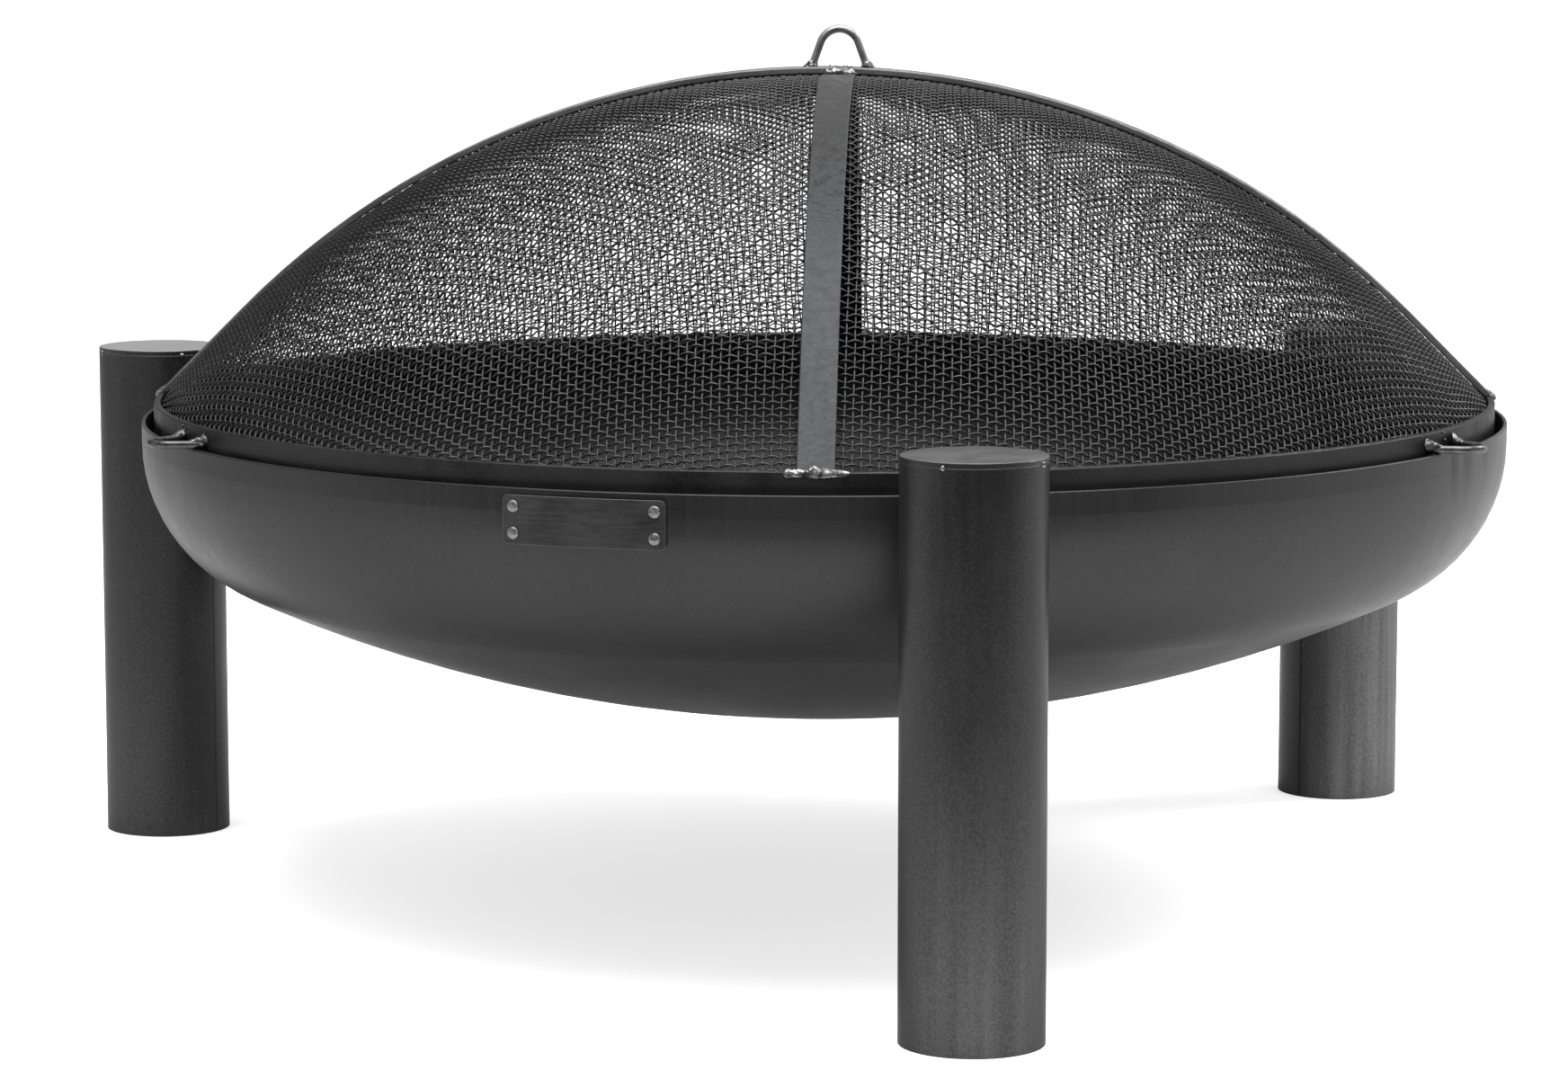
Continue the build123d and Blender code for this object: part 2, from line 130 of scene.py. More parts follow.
class Nodes:
    """A node tree that is built from expressions."""

    MIX_FIRST, MIX_SECOND, MIX_RESULT = 6, 7, 2
    NOISE_ROUGHNESS = 0.55
    BEVEL_SAMPLES = 4
    EDGE_COSINES = (0.995, 0.8)

    def __init__(self, tree: bpy.types.NodeTree) -> None:
        """Starts on a tree that Blender has made."""
        self.tree = tree

    def add(
        self, kind: str, settings: Optional[dict[str, Any]] = None, feeds: Optional[dict[Any, Any]] = None
    ) -> bpy.types.Node:
        """Adds any node.

        Args:
            kind: The node's type.
            settings: Its settings, which are set first.
            feeds: What goes into its inputs, as feed takes it.

        Returns:
            The new node.
        """
        node = self.tree.nodes.new(kind)
        for name, value in (settings or {}).items():
            setattr(node, name, value)
        self.feed(node, feeds or {})
        return node

    def feed(self, node: bpy.types.Node, feeds: dict[Any, Any]) -> None:
        """Links values to a node's inputs, or sets the inputs' constants.

        Args:
            node: The node.
            feeds: For each input, by name or number, a Value, an output socket, a number, or a
                colour or vector as a tuple.
        """
        for name, value in feeds.items():
            socket = node.inputs[name]
            if isinstance(value, Value):
                value = value.socket
            if isinstance(value, Socket):
                self.tree.links.new(value, socket)
            elif socket.type == "RGBA" and len(value) == 3:
                socket.default_value = (*value, 1.0)
            else:
                socket.default_value = value

    def place(self, stretch: Place = (1.0, 1.0, 1.0)) -> Socket:
        """The point on the object, with its axes stretched for a pattern that runs one way."""
        point = self.add("ShaderNodeTexCoord").outputs["Object"]
        return self.add("ShaderNodeVectorMath", {"operation": "MULTIPLY"}, {0: point, 1: stretch}).outputs[0]

    def axis(self, index: int, point: Optional[Socket] = None) -> Value:
        """One coordinate of a point, or of the point on the object."""
        split = self.add("ShaderNodeSeparateXYZ", feeds={0: point or self.place()})
        return Value(self, split.outputs[index])

    def axes(self, point: Optional[Socket] = None) -> list[Value]:
        """All three coordinates of a point, or of the point on the object."""
        return [self.axis(index, point) for index in range(3)]

    def normal(self) -> Socket:
        """The surface's own normal."""
        return self.add("ShaderNodeNewGeometry").outputs["Normal"]

    def dot(self, first: Socket, second: Socket) -> Value:
        """The dot product of two vectors."""
        node = self.add("ShaderNodeVectorMath", {"operation": "DOT_PRODUCT"}, {0: first, 1: second})
        return Value(self, node.outputs["Value"])

    def seen(self) -> Value:
        """1 for what the camera sees directly, and 0 for what only sends light."""
        return Value(self, self.add("ShaderNodeLightPath").outputs["Is Camera Ray"])

    def noise(self, size: float, stretch: Place = (1.0, 1.0, 1.0), detail: float = 3.0) -> Value:
        """Smooth noise about 0.5.

        Args:
            size: The width of its patches, in metres.
            stretch: How each axis is scaled; a small number draws the patches out along it.
            detail: How many finer octaves it has.

        Returns:
            The noise.
        """
        feeds = {"Vector": self.place(stretch), "Scale": 1 / size, "Detail": detail}
        feeds["Roughness"] = self.NOISE_ROUGHNESS
        return Value(self, self.add("ShaderNodeTexNoise", feeds=feeds).outputs["Fac"])

    def mix(self, share: Number, first: Paint, second: Paint) -> Socket:
        """The first colour where the share is 0 and the second where it is 1."""
        feeds = {"Factor": share, self.MIX_FIRST: first, self.MIX_SECOND: second}
        return self.add("ShaderNodeMix", {"data_type": "RGBA"}, feeds).outputs[self.MIX_RESULT]

    def rounded(self, radius: float) -> Socket:
        """The surface's normal with its edges rounded to a radius in metres."""
        return self.add("ShaderNodeBevel", {"samples": self.BEVEL_SAMPLES}, {"Radius": radius}).outputs[0]

    def edges(self, radius: float) -> Value:
        """How near a sharp edge the point is, from 0 to 1, within a radius in metres."""
        return self.dot(self.normal(), self.rounded(radius)).band(*self.EDGE_COSINES)

    def bump(self, height: Number, depth: float, normal: Optional[Socket] = None) -> Socket:
        """The normal of a surface with a height pattern on it.

        Args:
            height: The pattern, from 0 to 1.
            depth: How deep the pattern is, in metres.
            normal: The normal that it starts from, if it isn't the surface's own.

        Returns:
            The bumped normal.
        """
        feeds = {"Strength": 1.0, "Distance": depth, "Height": height}
        if normal:
            feeds["Normal"] = normal
        return self.add("ShaderNodeBump", feeds=feeds).outputs[0]


def start_material(name: str) -> tuple[Material, Nodes, bpy.types.Node]:
    """Starts a node material.

    Args:
        name: The material's name.

    Returns:
        The material, its node tree and its surface node.
    """
    made = bpy.data.materials.new(name)
    made.use_nodes = True
    return made, Nodes(made.node_tree), made.node_tree.nodes["Principled BSDF"]


def grey(level: float, cool: float = 0.0) -> Colour:
    """A grey, with a little more blue if it is a cool one."""
    return level, level, level + cool


# ---------- finishes
class Grain(Enum):
    """Which way the fine marks on a surface run, as the stretch of the pattern's axes."""

    EVEN = (1.0, 1.0, 1.0)
    UPRIGHT = (1.0, 1.0, 0.05)
    LEVEL = (0.08, 0.08, 1.0)


@dataclass(frozen=True)
class DarkSteel:
    """Blackened steel: a mottled skin, fine drawn marks, and edges worn a little brighter, with a painted
    highlight along them.
    """

    name: str
    colour: Colour
    patch_colour: Colour
    edge_wear_and_highlight_colour: Colour
    patch_size: float = 0.03
    mark_size: float = 0.002
    marks: float = 0.4
    grain: Grain = Grain.EVEN
    roughness: float = 0.45
    roughness_spread: float = 0.10
    depth: float = 0.00004
    pit_size: float = 0.0012
    speckle: float = 0.0
    metal: float = 0.75
    edge_radius: float = 0.0008
    edge_wear_and_highlight_share: float = 0.6
    grazing: float = 0.6

    def material(self) -> Material:
        """Builds the finish as a node material.

        Returns:
            The new material.
        """
        made, nodes, surface = start_material(self.name)
        patches = nodes.noise(self.patch_size, detail=4).band(*PATCH_RANGE)
        marks = nodes.noise(self.mark_size, self.grain.value, detail=2).band(*MARK_RANGE)
        pits = nodes.noise(self.pit_size, detail=2)
        specks = (pits.band(*SPECK_RANGE) - 0.5) * self.speckle
        share = patches * (1 - self.marks) + marks * self.marks + specks
        colour = self.marks_and_painted_light(nodes, nodes.mix(share, self.colour, self.patch_colour))
        spread = (patches - 0.5) * self.roughness_spread + (marks - 0.5) * (self.roughness_spread / 2)
        # Near sharp edges the colour turns pale: edge wear, and a painted highlight along the edge.
        edges = nodes.edges(self.edge_radius) * self.edge_wear_and_highlight_share
        relief = marks * 0.5 + pits * 0.5
        nodes.feed(surface, {
            "Base Color": nodes.mix(edges, colour, self.edge_wear_and_highlight_colour),
            "Roughness": spread + self.roughness,
            "Metallic": self.metal,
            "Specular Tint": grey(self.grazing),
            "Normal": nodes.bump(relief, self.depth, nodes.rounded(self.edge_radius)),
        })
        return made

    def marks_and_painted_light(self, nodes: Nodes, colour: Socket) -> Socket:
        """The marks of use, and the painted light and shade, that only some pieces have; plain pieces have
        none.
        """
        return colour


@dataclass(frozen=True)
class BowlSteel(DarkSteel):
    """The bowl's steel, with painted shade on its inner face below the rim, and with a few dark drips below one
    rest lug.
    """

    inner_shade: Colour = (0.028, 0.0275, 0.027)
    inner_shade_share: float = 0.85
    inner_depths: Span = (-0.0005, -0.004)
    unshaded_rim_height: float = 0.016
    drip_colour: Colour = grey(0.012)
    drip_share: float = 0.8
    drips: tuple[Span, ...] = ((0.3521, 0.0016), (0.3615, 0.0022), (0.3738, 0.0012))
    drip_length: float = 0.035
    drip_start: float = 0.004
    drip_side: Span = (0.0, -0.05)

    def marks_and_painted_light(self, nodes: Nodes, colour: Socket) -> Socket:
        """Adds the drips below the rim and painted shade on the inner face.

        Args:
            nodes: The finish's node tree.
            colour: The plain colour.

        Returns:
            The colour with the drips and the painted shade.
        """
        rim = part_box("bowl")[1]
        across, back, level = nodes.axes()
        fade = level.band(rim.z - self.drip_length, rim.z - self.drip_start) * back.band(*self.drip_side)
        for place, width in self.drips:
            near = across - place
            drip = (near * near).band((2 * width) ** 2, 0.0) * fade
            colour = nodes.mix(drip * self.drip_share, colour, self.drip_colour)
        # Painted shade: the inner face goes darker below a plain band at the rim.
        facing = nodes.dot(nodes.place((1.0, 1.0, 0.0)), nodes.normal())
        below_rim_band = level.band(rim.z - self.unshaded_rim_height, rim.z - 2 * self.unshaded_rim_height)
        inside = facing.band(*self.inner_depths) * below_rim_band
        return nodes.mix(inside * self.inner_shade_share, colour, self.inner_shade)


@dataclass(frozen=True)
class LegSteel(DarkSteel):
    """A leg tube's steel, with the fine line of the tube's own seam, and scuffs with a painted reflection,
    paler towards the foot.
    """

    leg: str = "front"
    seam_turn: float = 180.0
    seam_width: float = 0.0012
    seam_share: float = 0.7
    seam_colour: Colour = grey(0.012)
    scuff_and_reflection: float = 0.5
    scuff_and_reflection_height: float = 0.19
    scuff_and_reflection_full_height: float = 0.01
    scuff_and_reflection_turn: float = 0.0
    scuff_and_reflection_facing: Span = (0.25, 0.85)
    scuff_and_reflection_colour: Colour = grey(0.16, 0.002)
    streak_size: float = 0.009
    streaks: float = 0.6
    grit: float = 0.35

    def marks_and_painted_light(self, nodes: Nodes, colour: Socket) -> Socket:
        """Adds the seam line, and the scuffs with their painted reflection.

        Args:
            nodes: The finish's node tree.
            colour: The plain colour.

        Returns:
            The colour with the seam, the scuffs and the painted reflection.
        """
        low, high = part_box(f"leg_tube_{self.leg}")
        turn, side = radians(self.seam_turn), radians(self.scuff_and_reflection_turn)
        x, y, level = nodes.axes()
        x, y = x - (low.x + high.x) / 2, y - (low.y + high.y) / 2
        beside, out = x * cos(turn) + y * sin(turn), x * sin(turn) - y * cos(turn)
        line = (beside * beside).band(self.seam_width**2, (self.seam_width / 3) ** 2)
        seam = line * out.band(0.0, 0.01)
        colour = nodes.mix(seam * self.seam_share, colour, self.seam_colour)
        streaks = nodes.noise(self.streak_size, Grain.UPRIGHT.value, detail=4).band(*STREAK_RANGE)
        grit = nodes.noise(self.pit_size, detail=2).band(*SPECK_RANGE) - 0.5
        # Paler towards the foot on the side that faces the given turn: scuffs, and a painted reflection of the
        # floor and of light from the front right.
        facing = (x * sin(side) - y * cos(side)) * (2 / (high.x - low.x))
        scuffed_and_lit = level.band(self.scuff_and_reflection_height, self.scuff_and_reflection_full_height) * facing.band(*self.scuff_and_reflection_facing)
        scuffed_and_lit = scuffed_and_lit * (streaks * self.streaks + grit * self.grit + (1 - self.streaks))
        return nodes.mix(scuffed_and_lit * self.scuff_and_reflection, colour, self.scuff_and_reflection_colour)


@dataclass(frozen=True)
class CapSteel(DarkSteel):
    """A cap disc's steel, painted paler on top, where it faces the light from above, and dark like the tube
    round its edge: painted light and shade.
    """

    marks: float = 0.5
    edge_wear_and_highlight_share: float = 0.3
    grazing: float = 1.0
    painted_shade_side_colour: Colour = grey(0.04, 0.0005)
    side_lean: Span = (0.9, 0.5)

    def marks_and_painted_light(self, nodes: Nodes, colour: Socket) -> Socket:
        """Paints the disc's edge darker than its top, by the way the surface faces: painted shade."""
        up = nodes.axis(2, nodes.normal())
        return nodes.mix(up.band(*self.side_lean), colour, self.painted_shade_side_colour)


@dataclass(frozen=True)
class WeldMetal:
    """Bright weld metal with darker, rougher oxide in its hollows."""

    name: str = "weld_metal"
    bright: Colour = grey(0.27, 0.004)
    oxide: Colour = (0.045, 0.044, 0.043)
    patch_size: float = 0.0035
    fine_size: float = 0.0007
    roughness: float = 0.2
    oxide_roughness: float = 0.25
    fine_roughness: float = 0.1
    depth: float = 0.00008
    metal: float = 0.95

    def material(self) -> Material:
        """Builds the finish as a node material.

        Returns:
            The new material.
        """
        made, nodes, surface = start_material(self.name)
        patches = nodes.noise(self.patch_size, detail=4).band(*WELD_RANGE)
        fine = nodes.noise(self.fine_size, detail=2)
        nodes.feed(surface, {
            "Base Color": nodes.mix(patches, self.bright, self.oxide),
            "Roughness": patches * self.oxide_roughness + fine * self.fine_roughness + self.roughness,
            "Metallic": self.metal,
            "Normal": nodes.bump(fine, self.depth),
        })
        return made


# The bowl's pale edge colour is a painted highlight along the rim, with some edge wear.
BOWL_STEEL = BowlSteel(
    "bowl_steel", grey(0.036, 0.001), grey(0.047, 0.001), grey(0.36, 0.005), patch_size=0.12,
    mark_size=0.0025, marks=0.3, grain=Grain.UPRIGHT, roughness=0.36, roughness_spread=0.09,
    speckle=0.5, edge_wear_and_highlight_share=0.75, grazing=0.65,
)
# The pale patches towards the feet are scuffs and painted reflection; the right leg's strong one is mostly
# painted light from the front right.
LEG_STEELS = tuple(
    LegSteel(
        f"leg_steel_{leg}", grey(0.036, 0.0005), grey(0.05, 0.001), grey(0.16, 0.005), patch_size=0.09,
        mark_size=0.0035, marks=0.3, grain=Grain.UPRIGHT, roughness=0.38, speckle=1.2, leg=leg,
        seam_turn=seam_turn, scuff_and_reflection=scuff_and_reflection, scuff_and_reflection_height=height, scuff_and_reflection_turn=turn,
    )
    for leg, seam_turn, scuff_and_reflection, height, turn in (
        ("front", 170.0, 0.45, 0.19, 0.0), ("right", -44.0, 0.9, 0.45, 30.0), ("left", 60.0, 0.12, 0.15, 0.0)
    )
)
CAP_STEEL = CapSteel("cap_steel", grey(0.09, 0.0015), grey(0.125, 0.002), grey(0.2, 0.003), roughness=0.42)
# The left cap's paler copy of the cap steel is painted light: the reflection of the bright surround behind it.
PAINTED_LIGHT_CAP_STEEL = CapSteel(
    "painted_light_cap_steel", grey(0.22, 0.003), grey(0.28, 0.004), grey(0.3, 0.004), roughness=0.40
)
BADGE_STEEL = DarkSteel(
    "badge_steel", grey(0.045, 0.0005), grey(0.075, 0.001), grey(0.24, 0.005), patch_size=0.02,
    mark_size=0.0015, marks=0.5, grain=Grain.LEVEL, roughness_spread=0.16,
)
BAR_STEEL = DarkSteel(
    "bar_steel", grey(0.03, 0.0005), grey(0.045, 0.001), grey(0.26, 0.005), roughness=0.40,
    roughness_spread=0.18, grazing=0.4,
)
# The arch is the same flat bar as the ring; its far paler colour is partly worn edges and partly painted light
# caught from above.
ARCH_STEEL = DarkSteel(
    "arch_steel", grey(0.15, 0.002), grey(0.22, 0.003), grey(0.3, 0.005), roughness_spread=0.16,
    edge_radius=0.0013, grazing=0.3,
)
STRIP_STEEL = DarkSteel(
    "strip_steel", (0.009, 0.0093, 0.01), (0.042, 0.0428, 0.0445), grey(0.3, 0.008), patch_size=0.006,
    mark_size=0.0022, marks=0.5, roughness_spread=0.28, depth=0.0001, grazing=1.0,
)
ROD_STEEL = DarkSteel(
    "rod_steel", grey(0.06, 0.001), grey(0.13, 0.002), grey(0.2), patch_size=0.008, mark_size=0.0012,
    marks=0.35, roughness=0.25, metal=0.95,
)
# The eye is the same rod as the rest lugs; its paler copy of their steel is painted light falling on it from
# above.
EYE_STEEL = DarkSteel(
    "eye_steel", grey(0.26, 0.003), grey(0.38, 0.004), grey(0.42), patch_size=0.008, mark_size=0.0012,
    marks=0.45, roughness=0.38, roughness_spread=0.12, metal=0.95,
)
# Both directions are the same wire; the level wires' paler colours are painted light, for the glints from the
# upper right. Their roughness differs too.
WIRE_STEELS = {
    direction: DarkSteel(
        f"{direction}_wire_steel", grey(dark, 0.001), grey(pale, 0.001), grey(edge), patch_size=0.05,
        roughness=roughness, metal=0.9,
    )
    for direction, dark, pale, edge, roughness in (
        ("upright", 0.036, 0.058, 0.1, 0.46), ("level", 0.045, 0.08, 0.13, 0.27)
    )
}
RIVET_STEEL = DarkSteel(
    "rivet_steel", grey(0.12, 0.002), grey(0.34, 0.004), grey(0.36), patch_size=0.0018,
    mark_size=0.0008, marks=0.5, roughness=0.38, roughness_spread=0.24, metal=0.95,
)
WELD_METAL = WeldMetal()
DULL_WELD_METAL = WeldMetal("dull_weld_metal", grey(0.17, 0.003), (0.032, 0.0315, 0.031))


# ---------- meshes
class Surface:
    """Collects strips of closed tube and makes one mesh object of them."""

    def __init__(self) -> None:
        """Starts empty."""
        self.parts: list[tuple[Array, Array, Array, Array]] = []
        self.count = 0

    def tube(self, rings: Array) -> None:
        """Adds one closed tube.

        Args:
            rings: Its points, as an array of rings by sides by three.
        """
        length, sides = rings.shape[:2]
        number = np.arange(length * sides).reshape(length, sides) + self.count
        after = np.roll(number, -1, axis=1)
        quads = np.stack([number[:-1], after[:-1], after[1:], number[1:]], -1).reshape(-1, 4)
        run = np.linalg.norm(np.diff(rings.mean(1), axis=0), axis=1)
        along = np.concatenate([[0.0], np.cumsum(run)])
        around = np.arange(sides + 1) / (sides + 1)
        low, high = np.repeat(along[:-1], sides), np.repeat(along[1:], sides)
        left, right = (np.tile(side, length - 1) for side in (around[:-1], around[1:]))
        spots = np.stack([low, left, low, right, high, right, high, left], -1).reshape(-1, 2)
        row = len(self.parts)
        spots[:, 1] += row
        ends = np.zeros((2 * sides, 2))
        ends[:sides, 0], ends[sides:, 0] = along[0], along[-1]
        ends[:, 1] = row + np.tile(around[:-1], 2)
        corners = np.concatenate([quads.ravel(), number[0][::-1], number[-1]])
        sizes = np.concatenate([np.full(len(quads), 4), [sides, sides]])
        self.parts.append((rings.reshape(-1, 3), corners, sizes, np.concatenate([spots, ends])))
        self.count += length * sides

    def make(self, name: str, body: str, slot: str, material: Material, node: str) -> None:
        """Makes the piece, with a map on which each tube is one row, and puts it on its body.

        Args:
            name: The piece's name.
            body: The body that it moves with.
            slot: The record's material slot; not used.
            material: Its finish.
            node: The solid that it stands for.
        """
        points, corners, sizes, spots = (np.concatenate(column) for column in zip(*self.parts))
        starts = np.concatenate([[0], np.cumsum(sizes)[:-1]])
        mesh = bpy.data.meshes.new(name)
        mesh.vertices.add(len(points))
        mesh.vertices.foreach_set("co", points.astype(np.float32).ravel())
        mesh.loops.add(len(corners))
        mesh.loops.foreach_set("vertex_index", corners.astype(np.int32))
        mesh.polygons.add(len(sizes))
        mesh.polygons.foreach_set("loop_start", starts.astype(np.int32))
        mesh.polygons.foreach_set("use_smooth", np.ones(len(sizes), bool))
        mesh.update(calc_edges=True)
        layer = mesh.uv_layers.new(name="OFBake", do_init=False)
        spots = spots / np.maximum(spots.max(0) * MAP_MARGIN, TINY)
        layer.uv.foreach_set("vector", spots.astype(np.float32).ravel())
        mesh.validate()
        mesh.materials.append(material)
        piece = add_object(name, mesh)
        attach(piece, body)
        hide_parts(node)
        log.info("%s rides on %s", name, body)


def add_object(name: str, data: Any) -> bpy.types.Object:
    """Puts a new object with its data in the scene.

    Args:
        name: The object's name.
        data: Its mesh, light or camera.

    Returns:
        The object.
    """
    made = bpy.data.objects.new(name, data)
    bpy.context.scene.collection.objects.link(made)
    return made


def round_rings(path: Array, up: Array, radius: float, sides: int) -> Array:
    """Rings of points round a path, for a wire of even thickness.

    Args:
        path: The path's points.
        up: A direction at each point that isn't along the path.
        radius: The wire's radius.
        sides: The number of points in a ring.

    Returns:
        The rings, as an array of rings by sides by three.
    """
    along = np.gradient(path, axis=0)
    along /= np.maximum(np.linalg.norm(along, axis=1, keepdims=True), TINY)
    side = np.cross(along, up)
    side /= np.maximum(np.linalg.norm(side, axis=1, keepdims=True), TINY)
    high = np.cross(side, along)
    turn = np.arange(sides) * 2 * pi / sides
    ring = np.cos(turn)[None, :, None] * high[:, None] + np.sin(turn)[None, :, None] * side[:, None]
    return path[:, None] + radius * ring


def dress(material: Material, *names: str) -> None:
    """Gives the named solids, which show as they are, their finish.

    Args:
        material: The finish.
        *names: The solids' nodes.
    """
    for name in names:
        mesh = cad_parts[name].data
        mesh.materials.clear()
        mesh.materials.append(material)
        log.info("%s is dressed in %s", name, material.name)


# ---------- woven wire
@dataclass
class DomeForm:
    """The surface in the middle of the woven wire: a round crown, a cone and a short skirt."""

    radius: float
    centre_z: float
    skirt_radius: float
    half_angle: float = radians(45)
    step_rounds: int = 3

    def settle(self, points: Array) -> tuple[Array, Array]:
        """Moves points straight onto the surface.

        Args:
            points: The points, as an array with three columns.

        Returns:
            The points on the surface and its outward normals there.
        """
        out = np.hypot(points[:, 0], points[:, 1])
        way = points[:, :2] / np.maximum(out, TINY)[:, None]
        up = points[:, 2] - self.centre_z
        reach = np.maximum(np.hypot(out, up), TINY)
        rise, fall = cos(self.half_angle), sin(self.half_angle)
        shoulder = self.radius * fall, self.radius * rise
        slide = (out - shoulder[0]) * rise - (up - shoulder[1]) * fall
        corner = (self.skirt_radius - shoulder[0]) / rise
        crown, skirt = up * fall >= out * rise, slide > corner
        new_out = np.where(crown, out * self.radius / reach, shoulder[0] + slide * rise)
        new_up = np.where(crown, up * self.radius / reach, shoulder[1] - slide * fall)
        new_up = np.where(skirt & ~crown, np.minimum(up, shoulder[1] - corner * fall), new_up)
        new_out = np.where(skirt & ~crown, self.skirt_radius, new_out)
        lean = np.where(crown, out / reach, np.where(skirt, 1.0, fall))
        lift = np.where(crown, up / reach, np.where(skirt, 0.0, rise))
        settled = np.concatenate([way * new_out[:, None], (new_up + self.centre_z)[:, None]], 1)
        normals = np.concatenate([way * lean[:, None], lift[:, None]], 1)
        return settled, normals

    def straight(self, start: Array, heading: Array, step: float, count: int) -> Array:
        """A line that runs straight ahead over the surface.

        Args:
            start: Its first point, on the surface.
            heading: The direction in which it sets off.
            step: The distance from point to point.
            count: The number of steps.

        Returns:
            The line's points.
        """
        points = [start]
        for _ in range(count):
            ahead = points[-1] + heading * step
            for _ in range(self.step_rounds):
                ahead = self.settle(ahead[None])[0][0]
                ahead = points[-1] + (ahead - points[-1]) * step / np.linalg.norm(ahead - points[-1])
            points.append(ahead)
            normal = self.settle(ahead[None])[1][0]
            heading = points[-1] - points[-2]
            heading = heading - normal * heading.dot(normal)
            heading /= np.linalg.norm(heading)
        return np.array(points)


@dataclass
class WirePanel:
    """One half of the woven screen: wires at an even pitch, draped over the dome by shearing."""

    name: str
    form: DomeForm
    seed: int
    back: bool
    pitch: float = 0.00462
    wire_radius: float = 0.00056
    sides: int = 6
    crown_turn: float = radians(27.4)
    reach: tuple[int, int, int] = (128, 60, 62)
    crossing_rounds: int = 7
    least_spread: float = 0.02
    shortest: int = 3
    hem: float = 0.0008
    skirt_z: float = 0.2684
    waves: tuple[float, ...] = (0.19, 0.083, 0.041)
    wander: float = 0.0006
    jitter: float = 0.00008
    level_crimp: float = 1.35
    ramp: float = 0.5
    swell: float = 0.0
    swell_turns: Span = (2.0, 50.0)
    swell_turn_fades: Span = (7.0, 30.0)
    swell_heights: Span = (0.288, 0.43)
    swell_height_fades: Span = (0.012, 0.09)

    def quarter(self, up: bool) -> Array:
        """Drapes the wires of one quarter, from the middle line out.

        Each crossing lies one pitch from its two neighbours, so it follows from them.

        Args:
            up: Whether this is the quarter towards the arch, or towards the ring.

        Returns:
            The crossings, by wire across and wire along.
        """
        across, rise, drop = self.reach
        down = rise if up else drop
        turn = self.crown_turn
        start = np.array([0.0, -sin(turn), cos(turn)]) * self.form.radius
        start[2] += self.form.centre_z
        uphill = np.array([0.0, cos(turn), sin(turn)]) * (1 if up else -1)
        grid = np.full((across + 1, down + 1, 3), np.nan)
        grid[:, 0] = self.form.straight(start, np.array([1.0, 0.0, 0.0]), self.pitch, across)
        grid[0, :] = self.form.straight(start, uphill, self.pitch, down)
        for front in range(2, across + down + 1):
            i = np.arange(max(1, front - down), min(across, front - 1) + 1)
            j = front - i
            first, second = grid[i - 1, j], grid[i, j - 1]
            grid[i, j] = self.crossing(first, second, first + second - grid[i - 1, j - 1])
        return grid

    def crossing(self, first: Array, second: Array, guess: Array) -> Array:
        """The points on the dome that lie one pitch from two others, found from a guess.

        Args:
            first: The points on one side.
            second: The points on the other side.
            guess: Where they may lie.

        Returns:
            The points.
        """
        for _ in range(self.crossing_rounds):
            guess, normal = self.form.settle(guess)
            ways = [guess - first, guess - second]
            spans = [np.linalg.norm(way, axis=1) for way in ways]
            flat = []
            for way, span in zip(ways, spans):
                way = way / span[:, None]
                flat.append(way - normal * (way * normal).sum(1)[:, None])
            a, b, d = ((flat[m] * flat[n]).sum(1) for m, n in ((0, 0), (0, 1), (1, 1)))
            wrong = [self.pitch - span for span in spans]
            scale = np.maximum(a * d - b * b, self.least_spread)
            share = (d * wrong[0] - b * wrong[1]) / scale, (a * wrong[1] - b * wrong[0]) / scale
            guess = guess + share[0][:, None] * flat[0] + share[1][:, None] * flat[1]
        return self.form.settle(guess)[0]

    def crossings(self) -> tuple[Array, Array]:
        """All crossings of the panel and the dome's normals there, a little out of true.

        Returns:
            The crossings and the normals, each by wire across and wire along.
        """
        upper, lower = self.quarter(True), self.quarter(False)
        half = np.concatenate([lower[:, :0:-1], upper], axis=1)
        grid = np.concatenate([half[:0:-1] * (-1, 1, 1), half], axis=0)
        if self.back:
            grid = grid * (-1, -1, 1)
        shape = grid.shape
        flat = grid.reshape(-1, 3)
        random = np.random.default_rng(self.seed)
        drift = np.zeros_like(flat)
        for wave in self.waves:
            for column in range(3):
                phase = random.uniform(0, 2 * pi, 3)[0]
                way = random.normal(size=3)
                way /= np.linalg.norm(way)
                drift[:, column] += np.sin(flat @ way * 2 * pi / wave + phase) * wave
        flat = flat + drift * (self.wander / self.waves[0]) + random.normal(0, self.jitter, flat.shape)
        settled, normals = self.form.settle(flat)
        settled = settled + normals * self.swelling(settled)[:, None]
        return settled.reshape(shape), normals.reshape(shape)

    def swelling(self, points: Array) -> Array:
        """How far the panel stands proud of the dome, low down beside the arch's left foot.

        Args:
            points: Points on the dome.

        Returns:
            The distance at each point, in metres.
        """
        turn = np.degrees(np.arctan2(-points[:, 1], -points[:, 0]))
        share = np.ones(len(points))
        for place, (first, last), (rising, falling) in (
            (turn, self.swell_turns, self.swell_turn_fades),
            (points[:, 2], self.swell_heights, self.swell_height_fades),
        ):
            share *= np.clip((place - first) / rising, 0, 1) * np.clip((last - place) / falling, 0, 1)
        return self.swell * share * share * (3 - 2 * share)

    def wire(self, nodes: Array, normals: Array, first_side: float) -> Array:
        """The rings of one crimped wire.

        Args:
            nodes: The crossings that it passes.
            normals: The dome's normals there.
            first_side: Its crimp in wire radii, above 0 if it passes over at its first crossing.

        Returns:
            The rings, with two for each pitch.
        """
        side = first_side * np.where(np.arange(len(nodes)) % 2, -1.0, 1.0)
        lift = normals * (side * self.wire_radius)[:, None]
        step = np.diff(nodes, axis=0)
        leaving = nodes[:-1] + (1 - self.ramp) / 2 * step + lift[:-1]
        coming = nodes[:-1] + (1 + self.ramp) / 2 * step + lift[1:]
        path = np.stack([leaving, coming], 1).reshape(-1, 3)
        path = np.concatenate([nodes[:1] + lift[:1], path, nodes[-1:] + lift[-1:]])
        return round_rings(path, np.repeat(normals, 2, axis=0), self.wire_radius, self.sides)

